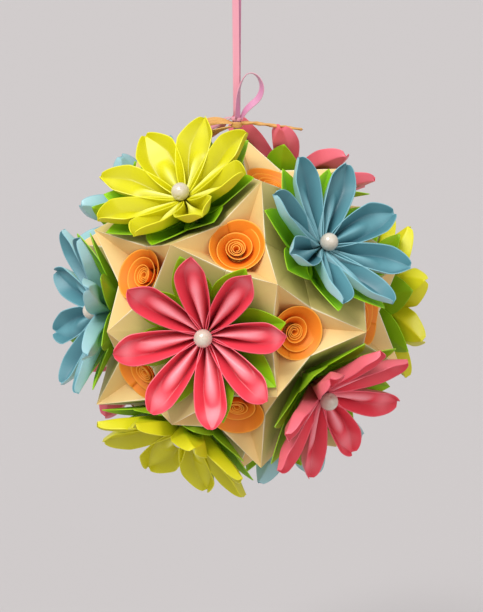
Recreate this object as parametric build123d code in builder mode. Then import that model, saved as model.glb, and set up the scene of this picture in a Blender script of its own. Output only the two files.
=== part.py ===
from build123d import *
import os
from math import sqrt, sin, cos, tan, asin, acos, atan2, radians, pi

os.makedirs("parts", exist_ok=True)

# A hanging ball of folded paper, in millimetres, +Z up.
# The origin is the inside of the top of the ribbon loop, where a hook carries it.
# Thirty folded units stand at the corners of an icosidodecahedron. Between their ridges lie
# twenty three-sided pits, each with a rolled rose, and twelve five-sided wells, each with a
# flower of eight petals, its collar of eight leaves and a pearl bead.

# Driving dimensions of the paper ball
edge = 49.0  # from one corner tip to the next
ridge_radius = 65.6  # ball centre to the middle of a ridge
pit_radius = 48.0  # ball centre to the bottom of a three-sided pit
unit_sheet = 0.45  # wall of a folded unit, measured towards the ball's centre
unit_setback = 0.12  # how far each unit stays back from its seams
piece_gap = 0.3  # clearance between a piece and its seat

# Driving dimensions of a flower, its beads and petals
pearl_radius = 4.0
pearl_height = 20.0  # above the bottom of the well
petal_count = 8
petal_start = 2.5  # flower axis to the inner end of a petal
petal_reach = 38.0  # flower axis to the petal's point
petal_root_lift = 6.88  # keel's inner end above the side of the well
petal_tip_lift = 10.9  # petal's point above the side of the well, carried on
petal_middle = 0.45  # share of the length at the middle section
petal_middle_half_width = 5.7
petal_middle_wall = 6.6
petal_middle_ridge = 3.8
petal_shoulder = 0.74  # share of the length at the widest section
petal_half_width = 6.3
petal_wall = 4.9
petal_valley = 0.45  # place of the two valleys, as a share of the half width
petal_sheet = 0.5
petal_spare_angle = 2.0  # degrees left free on each side of a petal's root

# Driving dimensions of a leaf in the collar
leaf_setback = 0.5  # how far a leaf's point stays short of a petal's
leaf_tip_lift = 4.9  # leaf's point above the side of the well
leaf_middle = 0.55  # share of the length at the widest section
leaf_half_width = 6.6
leaf_wall = 3.0
leaf_sheet = 0.5
leaf_turn = 6.0  # degrees from a petal to the leaf under it

# Driving dimensions of a rolled rose
rose_radius = 12.4
rose_core = 1.3
rose_wall = 9.4
rose_dip = 3.2  # how much lower the middle stands than the rim
rose_taper = 0.45  # foot of the roll as a share of its rim
rose_turns = 3.25
rose_corners = 7  # flat lengths in each turn
rose_sheet = 0.5
rose_spin = 83.0  # degrees from one rose to the next

# Driving dimensions of the hanger, heights measured from the top corner
hang_height = 75.0  # up to the inside of the ribbon loop
hook_radius = 2.5
ribbon_width = 3.0
ribbon_sheet = 0.3
ribbon_turn = 14.0  # degrees that the loop is turned from front to back
knot_radius = 1.6
knot_top = 7.0
hole_radius = 1.1  # pierced through the top corner
stem_radius = 0.8  # ribbon gathered in the hole
inner_knot_radius = 2.2
inner_knot_length = 4.0
knot_rounding = 0.6

# Driving dimensions of the two bows tied round the knot
tie_wall = 0.8
tie_gap = 0.1
ribbon_tie_height = 5.0
ribbon_tie_length = 1.6
raffia_tie_height = 1.9
raffia_tie_length = 2.6
raffia_sheet = 0.5
raffia_width = 4.0
raffia_tail = 1.1  # width of the tail
raffia_tail_sheet = 0.8

# Lengths that follow from the corners
golden = (1 + sqrt(5)) / 2
tip_radius = edge * golden
three_face_radius = edge * golden ** 2 / sqrt(3)
five_face_radius = edge * sqrt((5 + 2 * sqrt(5)) / 5)
edge_middle_radius = edge * sqrt(5 + 2 * sqrt(5)) / 2
three_tip_reach = edge / sqrt(3)
five_tip_reach = sqrt(tip_radius ** 2 - five_face_radius ** 2)
ball_centre = Vector(0, 0, -hang_height - tip_radius)
top_corner = Vector(0, 0, -hang_height)


def towards(x, y, z):
    """Unit direction, with the ball turned so that a three-sided pit faces the front right."""
    return Vector(x, y, z).rotate(Axis.Z, 45).normalized()


def rounds(x, y, z):
    """The three cyclic orders of a triple."""
    return [(x, y, z), (y, z, x), (z, x, y)]


def from_the_top(direction):
    """Sorting key that runs down the ball, ring by ring."""
    return -round(direction.Z, 3), round(direction.Y, 3), round(direction.X, 3)


signs = (1, -1)
corners = [towards(*p) for a in signs for p in rounds(a, 0, 0)]
corners += [towards(*p) for a in signs for b in signs for c in signs
            for p in rounds(a, b * golden, c * golden ** 2)]
corners.sort(key=from_the_top)
pits = [towards(a, b, c) for a in signs for b in signs for c in signs]
pits += [towards(*p) for a in signs for b in signs for p in rounds(0, a / golden, b * golden)]
pits.sort(key=from_the_top)

# Each flower has its name, its direction, its turn and how it leans up and sideways, in degrees
flowers = [
    ("pink_flower_1", towards(-golden, -1, 0), 8, -2, -3),
    ("pink_flower_2", towards(0, -golden, -1), 43, 0, -2),
    ("pink_flower_3", towards(1, 0, golden), 32, 2, 3),
    ("pink_flower_4", towards(0, golden, -1), 17, 2, -2),
    ("yellow_flower_1", towards(-1, 0, golden), 11, -3, -3),
    ("yellow_flower_2", towards(-1, 0, -golden), 37, 5, -3),
    ("yellow_flower_3", towards(golden, -1, 0), 23, -1, -4),
    ("yellow_flower_4", towards(golden, 1, 0), 33, 1, 2),
    ("blue_flower_1", towards(0, -golden, 1), 9, 4, -2),
    ("blue_flower_2", towards(-golden, 1, 0), 27, 2, -2),
    ("blue_flower_3", towards(0, golden, 1), 5, -2, 1),
    ("blue_flower_4", towards(1, 0, -golden), 37, 2, 2),
]
# Petals glued by hand stray a little from an even spacing, in degrees
petal_stray = (-1.0, -0.5, 0.7, 1.3, 1.6, -1.3, -1.6, 0.5)


def folded(front, back, ring=False):
    """Solid sheet between two grids of points, every cell split into two flat triangles.

    The two grids have the same rows and columns. The border is closed by a strip of cells,
    and a cell side that has shrunk to a point is left out. In a ring the last column is the
    first one again, so there is no border between them.
    """
    faces = []

    def facet(*points):
        a, b, c = [Vector(point) for point in points]
        if (b - a).cross(c - a).length > 1e-6:
            faces.append(Face(Wire.make_polygon([a, b, c])))

    def cell(a, b, c, d):
        facet(a, b, c)
        facet(a, c, d)

    for i in range(len(front) - 1):
        for j in range(len(front[0]) - 1):
            cell(front[i][j], front[i + 1][j], front[i + 1][j + 1], front[i][j + 1])
            cell(back[i][j], back[i][j + 1], back[i + 1][j + 1], back[i + 1][j])
        if not ring:
            cell(front[i][0], back[i][0], back[i + 1][0], front[i + 1][0])
            cell(front[i][-1], front[i + 1][-1], back[i + 1][-1], back[i][-1])
    for j in range(len(front[0]) - 1):
        cell(front[0][j], front[0][j + 1], back[0][j + 1], back[0][j])
        cell(front[-1][j], back[-1][j], back[-1][j + 1], front[-1][j + 1])
    return Solid(Shell(faces))


def lowered(grid, drop):
    """The same grid of points moved down by drop."""
    return [[(x, y, z - drop) for x, y, z in row] for row in grid]


def facing(direction, height, lean_up=0.0, lean_side=0.0):
    """Plane on the ball at a height from its centre, its x axis towards the top of the ball."""
    up = (Vector(0, 0, 1) - direction * direction.Z).normalized()
    side = direction.cross(up)
    leaning = direction + up * tan(radians(lean_up)) + side * tan(radians(lean_side))
    leaning = leaning.normalized()
    across = Vector(0, 0, 1) - leaning * leaning.Z
    return Plane(ball_centre + direction * height, x_dir=across, z_dir=leaning)


# Directions within one unit, its corner tip straight up, its pits along X and its wells along Y
corner_to_pit = acos(three_face_radius / tip_radius)
corner_to_well = acos(five_face_radius / tip_radius)
corner_to_ridge = asin(edge / 2 / tip_radius)
ridge_azimuth = acos(tan(corner_to_ridge) / tan(corner_to_pit))


def polar(radius, from_up, azimuth):
    """Point at a radius, tilted from straight up and turned about it, in radians."""
    flat = radius * sin(from_up)
    return Vector(flat * cos(azimuth), flat * sin(azimuth), radius * cos(from_up))


# The panels of a well are flat: each lies on a tip and its two ridge middles
tip = Vector(0, 0, tip_radius)
ridge_middles = [polar(ridge_radius, corner_to_ridge, azimuth)
                 for azimuth in (ridge_azimuth, pi - ridge_azimuth, pi + ridge_azimuth, -ridge_azimuth)]
ridge_reach = ridge_middles[0].Y
ridge_drop = tip_radius - ridge_middles[0].Z
well_radius = tip_radius * ridge_reach / (
    cos(corner_to_well) * ridge_reach + sin(corner_to_well) * ridge_drop)
well_slope = (five_face_radius - well_radius) / five_tip_reach

# Slopes of a unit beside its tip, along a ridge and along the valley in a pit
ridge_slope = ridge_drop / sqrt(ridge_middles[0].X ** 2 + ridge_middles[0].Y ** 2)
valley_slope = (tip_radius - pit_radius * cos(corner_to_pit)) / (pit_radius * sin(corner_to_pit))
inner_knot_drop = inner_knot_radius * valley_slope + unit_sheet + piece_gap

# The border of a unit runs round its tip by the bottoms of its pits and wells
bottoms = [polar(pit_radius, corner_to_pit, 0), polar(well_radius, corner_to_well, pi / 2),
           polar(pit_radius, corner_to_pit, pi), polar(well_radius, corner_to_well, -pi / 2)]
border = []
for bottom, ridge_middle in zip(bottoms, ridge_middles):
    border.append(bottom)
    border.append(ridge_middle)
border = [point + (tip - point).normalized() * unit_setback for point in border]
border.append(border[0])


def inside(point):
    """The same point on the inner face of the sheet, nearer to the ball's centre."""
    return point - point.normalized() * unit_sheet


# Folded units, one sheet each, the top one pierced for the hanger
outer_rows = [[tip] * len(border), border]
inner_rows = [[inside(point) for point in row] for row in outer_rows]
unit_body = folded(outer_rows, inner_rows, ring=True)

for number, corner in enumerate(corners):
    nearest_pit = max(pits, key=lambda pit: pit.dot(corner))
    unit_plane = Plane(ball_centre, x_dir=nearest_pit - corner * nearest_pit.dot(corner), z_dir=corner)
    with BuildPart() as frame_unit:
        with Locations(unit_plane):
            add(unit_body)
        if number == 0:
            with Locations(top_corner):
                Cylinder(hole_radius, inner_knot_drop * 2, mode=Mode.SUBTRACT)
    unit_name = "top_frame_unit" if number == 0 else f"frame_unit_{number + 1:02d}"
    frame_unit.part.label = unit_name
    export_step(frame_unit.part, f"parts/{unit_name}.step")

# Petal, lying along X from the flower's axis, its keel rising from root to point
petal_root_height = well_slope * petal_start + petal_root_lift
petal_tip_height = well_slope * petal_reach + petal_tip_lift
petal_root_half_width = petal_start * tan(pi / petal_count - radians(petal_spare_angle))
petal_root_top = pearl_height - sqrt(pearl_radius ** 2 - petal_start ** 2) - piece_gap
petal_root_wall = petal_root_top - petal_root_height


def petal_row(share, half_width, wall, ridge):
    """Section of a petal at a share of its length: wall, valley, ridge, valley and wall."""
    x = petal_start + (petal_reach - petal_start) * share
    keel = petal_root_height + (petal_tip_height - petal_root_height) * share
    valley = half_width * petal_valley
    return [(x, -half_width, keel + wall), (x, -valley, keel), (x, 0, keel + ridge),
            (x, valley, keel), (x, half_width, keel + wall)]


petal_top = [
    petal_row(0, petal_root_half_width, petal_root_wall, petal_root_wall),
    petal_row(petal_middle, petal_middle_half_width, petal_middle_wall, petal_middle_ridge),
    petal_row(petal_shoulder, petal_half_width, petal_wall, 0),
    petal_row(1, 0, 0, 0),
]
petal_body = folded(petal_top, lowered(petal_top, petal_sheet))

# Leaf of the collar, its root seated on the well and its rim close under the petals' roots
leaf_reach = petal_reach - leaf_setback
leaf_root_height = well_slope * petal_start + piece_gap + leaf_sheet
leaf_root_wall = petal_root_height - petal_sheet - piece_gap - leaf_root_height
leaf_tip_height = well_slope * leaf_reach + leaf_tip_lift


def leaf_row(share, half_width, wall):
    """Section of a leaf at a share of its length: wall, keel and wall."""
    x = petal_start + (leaf_reach - petal_start) * share
    keel = leaf_root_height + (leaf_tip_height - leaf_root_height) * share
    return [(x, -half_width, keel + wall), (x, 0, keel), (x, half_width, keel + wall)]


leaf_top = [
    leaf_row(0, petal_root_half_width, leaf_root_wall),
    leaf_row(leaf_middle, leaf_half_width, leaf_wall),
    leaf_row(1, 0, 0),
]
leaf_body = folded(leaf_top, lowered(leaf_top, leaf_sheet))

# Flowers of eight petals, and under each the collar of eight leaves
for number, (flower_name, direction, turn, lean_up, lean_side) in enumerate(flowers):
    flower_plane = facing(direction, well_radius, lean_up, lean_side)
    petal_angles = [turn + 360 / petal_count * i + petal_stray[(i + number) % len(petal_stray)]
                    for i in range(petal_count)]
    with BuildPart() as flower:
        with Locations(*[flower_plane * Rot(0, 0, angle) for angle in petal_angles]):
            add(petal_body)
    flower.part.label = flower_name
    export_step(flower.part, f"parts/{flower_name}.step")
    with BuildPart() as collar:
        with Locations(flower_plane):
            with PolarLocations(0, petal_count, start_angle=turn + leaf_turn):
                add(leaf_body)
    collar_name = flower_name.replace("flower", "leaf_collar")
    collar.part.label = collar_name
    export_step(collar.part, f"parts/{collar_name}.step")

# Pearl beads, one in the middle of each flower
with BuildPart() as pearls:
    with Locations(*[facing(direction, well_radius, lean_up, lean_side) * Pos(0, 0, pearl_height)
                     for name, direction, turn, lean_up, lean_side in flowers]):
        Sphere(pearl_radius)
pearls.part.label = "pearl_beads"
export_step(pearls.part, "parts/pearl_beads.step")

# Panel of a pit, and how wide the pit is at a height above its bottom
pit_to_ridge = acos(three_face_radius / edge_middle_radius)
pit_tip = Vector(three_tip_reach, 0, three_face_radius - pit_radius)
pit_ridge = polar(ridge_radius, pit_to_ridge, pi / 3) - Vector(0, 0, pit_radius)
panel_normal = pit_tip.cross(pit_ridge)
pit_widening = abs(panel_normal.Z) / sqrt(panel_normal.X ** 2 + panel_normal.Y ** 2)

# Rose, a long strip rolled up, leaning outwards, its foot or its rim on the sides of the pit
rose_foot_radius = max(rose_radius * rose_taper, rose_radius - rose_wall * pit_widening)
rose_foot_height = (rose_foot_radius + rose_sheet / 2 + piece_gap) / pit_widening
rose_steps = round(rose_turns * rose_corners)
rose_outside = []
rose_inside = []
for i in range(rose_steps + 1):
    angle = 2 * pi * i / rose_corners
    radius = rose_core + (rose_radius - rose_core) * i / rose_steps
    rim_height = rose_foot_height + rose_wall - rose_dip * (rose_radius - radius) / (rose_radius - rose_core)
    for side, rows in ((rose_sheet / 2, rose_outside), (-rose_sheet / 2, rose_inside)):
        rim = radius + side
        foot = radius * rose_taper + side
        rows.append([(foot * cos(angle), foot * sin(angle), rose_foot_height),
                     (rim * cos(angle), rim * sin(angle), rim_height)])
rose_body = folded(rose_outside, rose_inside)

with BuildPart() as roses:
    with Locations(*[facing(pit, pit_radius) * Rot(0, 0, rose_spin * i) for i, pit in enumerate(pits)]):
        add(rose_body)
roses.part.label = "paper_roses"
export_step(roses.part, "parts/paper_roses.step")

# Hanging ribbon, one taut strip up from the knot, over the hook and down again
loop_plane = Plane((0, 0, 0), x_dir=(sin(radians(ribbon_turn)), cos(radians(ribbon_turn)), 0),
                   z_dir=(cos(radians(ribbon_turn)), -sin(radians(ribbon_turn)), 0))
strand_start = knot_radius - ribbon_width / 2 + ribbon_sheet
strand_bottom = knot_top - hang_height
bend_radius = hook_radius + ribbon_sheet / 2
bend_height = -hook_radius
strand_run = bend_height - strand_bottom
strand_lean = asin(bend_radius / sqrt(strand_start ** 2 + strand_run ** 2)) - atan2(strand_start, strand_run)
bend_start = (bend_radius * cos(strand_lean), bend_height - bend_radius * sin(strand_lean))
with BuildPart() as ribbon:
    with BuildSketch(loop_plane):
        with BuildLine():
            Line((-strand_start, strand_bottom), (-bend_start[0], bend_start[1]))
            ThreePointArc((-bend_start[0], bend_start[1]), (0, bend_height + bend_radius), bend_start)
            Line(bend_start, (strand_start, strand_bottom))
        trace(line_width=ribbon_sheet)
    extrude(amount=ribbon_width / 2, both=True)
ribbon.part.label = "hanging_ribbon"
export_step(ribbon.part, "parts/hanging_ribbon.step")
ribbon_length = 2 * strand_run / cos(strand_lean) + bend_radius * (pi + 2 * strand_lean)
print("ribbon length", round(ribbon_length, 1), "volume over section and length",
      round(ribbon.part.volume / (ribbon_width * ribbon_sheet * ribbon_length), 3),
      "bend radius", bend_radius)

# Knot on the top corner, gathered through the hole to a stopper knot inside
knot_bottom = piece_gap - hole_radius * ridge_slope
with BuildPart() as knot:
    with Locations(top_corner + Vector(0, 0, knot_bottom)):
        Cylinder(knot_radius, knot_top - knot_bottom, align=(Align.CENTER, Align.CENTER, Align.MIN))
    fillet(knot.edges(), knot_rounding)
    with Locations(top_corner - Vector(0, 0, inner_knot_drop)):
        Cylinder(stem_radius, inner_knot_drop + knot_bottom + knot_rounding,
                 align=(Align.CENTER, Align.CENTER, Align.MIN))
        stopper = Cylinder(inner_knot_radius, inner_knot_length, align=(Align.CENTER, Align.CENTER, Align.MAX))
    fillet(stopper.edges().group_by(Axis.Z)[0], knot_rounding)
knot.part.label = "ribbon_knot"
export_step(knot.part, "parts/ribbon_knot.step")


tie_radius = knot_radius + tie_gap + tie_wall


def band(route, heading, width, sheet):
    """Flat strip along a route near the top corner.

    A route point has its reach from the corner along the heading, its offset to the left,
    its height above the slope of the ridges, which starts at the tie, and the strip's twist
    in degrees: level at 0, upright at 90.
    """
    ahead = Vector(cos(radians(heading)), sin(radians(heading)), 0)
    left = Vector(-ahead.Y, ahead.X, 0)
    places = []
    for reach, offset, height, twist in route:
        slope_height = -max(0, reach - tie_radius) * ridge_slope
        places.append(top_corner + ahead * reach + left * offset + Vector(0, 0, slope_height + height))
    front = []
    back = []
    for i, place in enumerate(places):
        run = (places[min(i + 1, len(places) - 1)] - places[max(i - 1, 0)]).normalized()
        level = (left - run * left.dot(run)).normalized()
        twist = radians(route[i][3])
        across = level * cos(twist) + level.cross(run) * sin(twist)
        through = run.cross(across) * (sheet / 2)
        front.append([place - across * (width / 2) + through, place + across * (width / 2) + through])
        back.append([place - across * (width / 2) - through, place + across * (width / 2) - through])
    return folded(front, back)


# Ribbon bow, its right loop standing up beside the strands and its left loop lying down
right_loop = [
    (0.4, -2.2, 5.8, 60), (0.3, -3.2, 11.0, 40), (0.5, -3.7, 18.0, 20), (2.7, -3.8, 24.2, 10),
    (5.8, -3.8, 29.0, 10), (9.2, -3.8, 30.2, 20), (10.9, -3.7, 27.2, 40), (9.6, -3.5, 21.6, 60),
    (5.8, -3.2, 14.8, 60), (3.0, -2.6, 9.2, 40), (2.0, -1.0, 6.0, 20),
]
left_loop = [
    (2.1, -0.4, 6.1, 0), (5.5, -3.4, 8.5, 0), (8.5, -5.4, 8.6, 40), (13.0, -6.6, 10.0, 60),
    (19.0, -7.2, 12.2, 60), (22.5, -7.4, 12.6, 60), (22.8, -7.4, 10.6, 60), (19.0, -7.2, 8.2, 60),
    (13.0, -6.8, 6.6, 60), (8.5, -5.8, 5.9, 40), (5.5, -4.4, 7.6, 0), (2.1, -0.4, 5.5, 0),
]
with BuildPart() as ribbon_bow:
    with Locations(top_corner + Vector(0, 0, ribbon_tie_height)):
        Cylinder(tie_radius, ribbon_tie_length, align=(Align.CENTER, Align.CENTER, Align.MIN))
    add(band(right_loop, 0, ribbon_width, ribbon_sheet))
    add(band(left_loop, 165, ribbon_width, ribbon_sheet))
    with Locations(top_corner + Vector(0, 0, ribbon_tie_height)):
        Cylinder(knot_radius + tie_gap, knot_top * 2, mode=Mode.SUBTRACT)
ribbon_bow.part.label = "ribbon_bow"
export_step(ribbon_bow.part, "parts/ribbon_bow.step")

# Raffia bow, a flattened loop on the left and a straight twisted tail on the right
raffia_loop = [
    (2.0, 0.3, 3.6, 0), (6.0, 0.5, 7.3, 10), (11.6, -2.2, 11.9, 55), (18.8, -3.0, 14.9, 60),
    (23.0, -3.0, 15.4, 60), (24.0, -3.0, 13.6, 60), (21.2, -3.0, 10.6, 60), (15.0, -2.6, 8.2, 55),
    (8.0, -0.8, 5.0, 20), (2.0, 0.3, 2.6, 0),
]
tail = [(2.0, -0.8, 3.6, 45), (8.5, -1.8, 9.6, 45), (18.0, -2.6, 15.8, 45), (29.5, -3.2, 23.1, 45)]
with BuildPart() as raffia_bow:
    with Locations(top_corner + Vector(0, 0, raffia_tie_height)):
        Cylinder(tie_radius, raffia_tie_length, align=(Align.CENTER, Align.CENTER, Align.MIN))
    add(band(raffia_loop, 175, raffia_width, raffia_sheet))
    add(band(tail, 0, raffia_tail, raffia_tail_sheet))
    with Locations(top_corner + Vector(0, 0, raffia_tie_height)):
        Cylinder(knot_radius + tie_gap, knot_top * 2, mode=Mode.SUBTRACT)
raffia_bow.part.label = "raffia_bow"
export_step(raffia_bow.part, "parts/raffia_bow.step")
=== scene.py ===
"""Folded paper flower ball: thirty folded units, twelve flowers with leaves and pearls, twenty roses.

Every shape is worked out in metres as whole arrays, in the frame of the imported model: the origin is
the inside of the top of the ribbon loop, and the ball hangs below it.
"""

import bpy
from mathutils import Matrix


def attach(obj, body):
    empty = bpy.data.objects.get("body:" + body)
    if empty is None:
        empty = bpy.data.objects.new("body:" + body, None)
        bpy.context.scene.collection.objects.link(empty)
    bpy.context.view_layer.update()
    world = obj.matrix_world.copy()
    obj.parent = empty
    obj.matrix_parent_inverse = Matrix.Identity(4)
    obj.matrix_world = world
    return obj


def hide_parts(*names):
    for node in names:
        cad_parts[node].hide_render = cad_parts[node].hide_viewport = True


bl_info = {
    "name": "Folded paper flower ball",
    "version": (1, 0, 0),
    "blender": (4, 5, 0),
    "location": "View3D > Sidebar > Paper Ball",
    "description": "Builds a hanging ball of folded paper flowers, leaves, roses and pearls",
    "category": "Add Mesh",
}

from collections import namedtuple

import bmesh
import bpy
import numpy as np
from bpy.props import FloatProperty, FloatVectorProperty, IntProperty, PointerProperty
from mathutils import Vector

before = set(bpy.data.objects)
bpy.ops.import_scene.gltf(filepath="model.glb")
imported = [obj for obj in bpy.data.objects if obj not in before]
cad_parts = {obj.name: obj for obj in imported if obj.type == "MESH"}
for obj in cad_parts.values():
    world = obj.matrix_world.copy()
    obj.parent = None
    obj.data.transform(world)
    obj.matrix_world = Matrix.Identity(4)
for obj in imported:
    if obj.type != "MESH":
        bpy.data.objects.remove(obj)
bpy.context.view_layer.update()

GOLDEN = (1 + 5 ** 0.5) / 2
MM = 0.001
UP = np.array((0, 0, 1.0))

# A direction is in the ball's own frame, and turn and leans are in degrees
Flower = namedtuple("Flower", "name direction turn lean_up lean_side")
FLOWERS = [Flower(*values) for values in (
    ("pink_flower_1", (-GOLDEN, -1, 0), 8, -2, -3),
    ("pink_flower_2", (0, -GOLDEN, -1), 43, 0, -2),
    ("pink_flower_3", (1, 0, GOLDEN), 32, 2, 3),
    ("pink_flower_4", (0, GOLDEN, -1), 17, 2, -2),
    ("yellow_flower_1", (-1, 0, GOLDEN), 11, -3, -3),
    ("yellow_flower_2", (-1, 0, -GOLDEN), 37, 5, -3),
    ("yellow_flower_3", (GOLDEN, -1, 0), 23, -1, -4),
    ("yellow_flower_4", (GOLDEN, 1, 0), 33, 1, 2),
    ("blue_flower_1", (0, -GOLDEN, 1), 9, 4, -2),
    ("blue_flower_2", (-GOLDEN, 1, 0), 27, 2, -2),
    ("blue_flower_3", (0, GOLDEN, 1), 5, -2, 1),
    ("blue_flower_4", (1, 0, -GOLDEN), 37, 2, 2),
)]
# Each flower has this many petals, and as many leaves
PETALS = 8
PETAL_SPACING = 360 / PETALS
# Petals glued by hand stray a little from an even spacing, in degrees
PETAL_STRAY = (-1.0, -0.5, 0.7, 1.3, 1.6, -1.3, -1.6, 0.5)
# Half width that a petal or leaf still has at its very point
POINT_WIDTH = 0.12 * MM
# First seeds of what varies from one flower, collar or rose to the next
PETAL_SEED, LEAF_SEED, ROSE_SEED = 100, 200, 40


def length(name, text, millimetres):
    """A size property, given in millimetres."""
    return FloatProperty(name=name, description=text, default=millimetres * MM, min=0, unit="LENGTH",
                         subtype="DISTANCE", precision=5)


def share(name, text, value):
    """A property without a unit."""
    return FloatProperty(name=name, description=text, default=value)


def colour(name, text, value):
    """A colour property, as it looks on screen."""
    return FloatVectorProperty(name=name, description=text, default=value, size=3, min=0, max=1,
                               subtype="COLOR_GAMMA")


class PaperBallSizes(bpy.types.PropertyGroup):
    """Sizes of the paper ball."""
    edge: length("Edge", "From one corner tip to the next", 49)
    ridge_radius: length("Ridge radius", "Ball centre to the middle of a ridge", 65.6)
    pit_radius: length("Pit radius", "Ball centre to the bottom of a three-sided pit", 48)
    hang_height: length("Hang height", "Top corner to the inside of the ribbon loop", 75)
    unit_sheet: length("Unit sheet", "Paper of a folded unit, measured towards the centre", 0.4)
    pearl_radius: length("Pearl radius", "Radius of a pearl bead", 4)
    pearl_height: length("Pearl height", "Bottom of a well to the middle of its pearl", 20)
    petal_start: length("Petal start", "Flower axis to the inner end of a petal", 2.5)
    petal_reach: length("Petal reach", "Flower axis to a petal's point", 38)
    petal_root_lift: length("Petal root lift", "Petal's inner end above the side of the well", 6.88)
    petal_tip_lift: length("Petal tip lift", "Petal's point above the side of the well, carried on", 10.9)
    petal_half_width: length("Petal half width", "Half width of a petal at its widest", 6.4)
    petal_wall: length("Petal wall", "How deep a petal is folded at its root", 8.5)
    petal_sheet: length("Petal sheet", "Paper of a petal's fold", 0.34)
    leaf_reach: length("Leaf reach", "Flower axis to a leaf's point", 37.5)
    leaf_tip_lift: length("Leaf tip lift", "Leaf's point above the side of the well", 4.9)
    leaf_half_width: length("Leaf half width", "Half width of a leaf at its widest", 6.6)
    rose_radius: length("Rose radius", "Outer turn of a rose at its rim", 12.4)
    rose_wall: length("Rose wall", "Height of the outer turn of a rose", 9.4)
    rose_turns: share("Rose turns", "How often the strip of a rose goes round", 6.6)
    ribbon_width: length("Ribbon width", "Width of the satin ribbon", 3)
    ribbon_sheet: length("Ribbon sheet", "Thickness of the satin ribbon", 0.3)
    raffia_width: length("Raffia width", "Width of the flattened raffia loop", 4)


class PaperBallColours(bpy.types.PropertyGroup):
    """Colours of the papers, the ribbon and the beads."""
    cream: colour("Cream", "Paper of the folded units", (0.91, 0.80, 0.54))
    orange: colour("Orange", "Paper of the roses", (0.96, 0.55, 0.09))
    pink: colour("Pink", "Paper of the pink flowers", (0.94, 0.28, 0.35))
    yellow: colour("Yellow", "Paper of the yellow flowers", (0.85, 0.83, 0.04))
    blue: colour("Blue", "Paper of the blue flowers", (0.34, 0.56, 0.60))
    green: colour("Green", "Paper of the leaves", (0.55, 0.80, 0.03))
    pearl: colour("Pearl", "Beads", (0.88, 0.84, 0.76))
    salmon: colour("Salmon", "Front side of the ribbon", (0.90, 0.61, 0.67))
    mauve: colour("Mauve", "Back side of the ribbon", (0.82, 0.54, 0.68))
    raffia: colour("Raffia", "Raffia of the second bow", (0.90, 0.64, 0.31))
    backdrop: colour("Backdrop", "Floor and distance", (0.82, 0.80, 0.80))


class PaperBallSettings(bpy.types.PropertyGroup):
    """Everything that can be changed."""
    sizes: PointerProperty(type=PaperBallSizes, name="Sizes", description="Sizes of the paper ball")
    colours: PointerProperty(type=PaperBallColours, name="Colours", description="Colours of the pieces")
    frame_turn: IntProperty(name="Turn", description="Turn of the ball about its ribbon, in degrees",
                            default=45)


# Numbers and grids of points

def between(first, last, part):
    """The first value, with a part of the way to the last."""
    return first + (last - first) * part


def ramp(value, start, end):
    """0 before the start, 1 after the end, and straight between them."""
    return np.clip((value - start) / (end - start), 0, 1)


def bell(value, middle, reach):
    """1 at the middle, falling off softly on both sides."""
    return np.exp(-((value - middle) / reach) ** 2)


def arc(part):
    """0 at both ends and 1 half way."""
    return 4 * part * (1 - part)


def soft_step(part):
    """From 0 to 1, level at both ends."""
    return part * part * (3 - 2 * part)


def signed_power(value, power):
    """A power of the value, with its sign kept."""
    return np.sign(value) * np.abs(value) ** power


def full_turn(count):
    """Angles in even steps once round."""
    return np.linspace(0, 2 * np.pi, count, endpoint=False)


def mirrored(*half):
    """Row of places across a middle fold, from its right half, which starts at 0 and ends at 1."""
    half = np.array(half)
    return np.concatenate((-half[:0:-1], half))[None, :]


def unit(vector):
    """The vector at length one, along the last axis."""
    vector = np.asarray(vector, float)
    return vector / np.linalg.norm(vector, axis=-1, keepdims=True)


def spun(x, y, turn):
    """A place in a plane, turned about the middle."""
    return x * np.cos(turn) - y * np.sin(turn), x * np.sin(turn) + y * np.cos(turn)


def grid_of(x, y, z):
    """Points from their coordinates."""
    return np.stack(np.broadcast_arrays(x, y, z), -1)


def turned(reach, turn, height):
    """Points at a reach from the z axis, a turn about it and a height."""
    return grid_of(reach * np.cos(turn), reach * np.sin(turn), height)


def polar(radius, from_up, turn):
    """Point at a radius, tilted from straight up and turned about it."""
    return turned(radius * np.sin(from_up), turn, radius * np.cos(from_up))


def normals(grid):
    """Unit normals of a grid of points, to the side where rows cross columns."""
    never_zero = 1e-12
    return unit(np.cross(np.gradient(grid, axis=0), np.gradient(grid, axis=1)) + never_zero)


# Directions and planes on the ball

def towards(x, y, z):
    """Unit direction, with the ball turned so that a three-sided pit faces the front right."""
    turn = np.radians(bpy.context.scene.paper_ball.frame_turn)
    return unit((*spun(x, y, turn), z))


def rounds(x, y, z):
    """The three cyclic orders of a triple."""
    return [(x, y, z), (y, z, x), (z, x, y)]


def from_the_top(direction):
    """Sorting key that runs down the ball, ring by ring."""
    return -round(direction[2], 3), round(direction[1], 3), round(direction[0], 3)


def corners():
    """Directions of the thirty corners of an icosidodecahedron, from the top."""
    found = [towards(*p) for a in (1, -1) for p in rounds(a, 0, 0)]
    found += [towards(*p) for a in (1, -1) for b in (1, -1) for c in (1, -1)
              for p in rounds(a, b * GOLDEN, c * GOLDEN ** 2)]
    return sorted(found, key=from_the_top)


def pits():
    """Directions of the twenty three-sided pits, from the top."""
    found = [towards(a, b, c) for a in (1, -1) for b in (1, -1) for c in (1, -1)]
    found += [towards(*p) for a in (1, -1) for b in (1, -1) for p in rounds(0, a / GOLDEN, b * GOLDEN)]
    return sorted(found, key=from_the_top)


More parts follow.
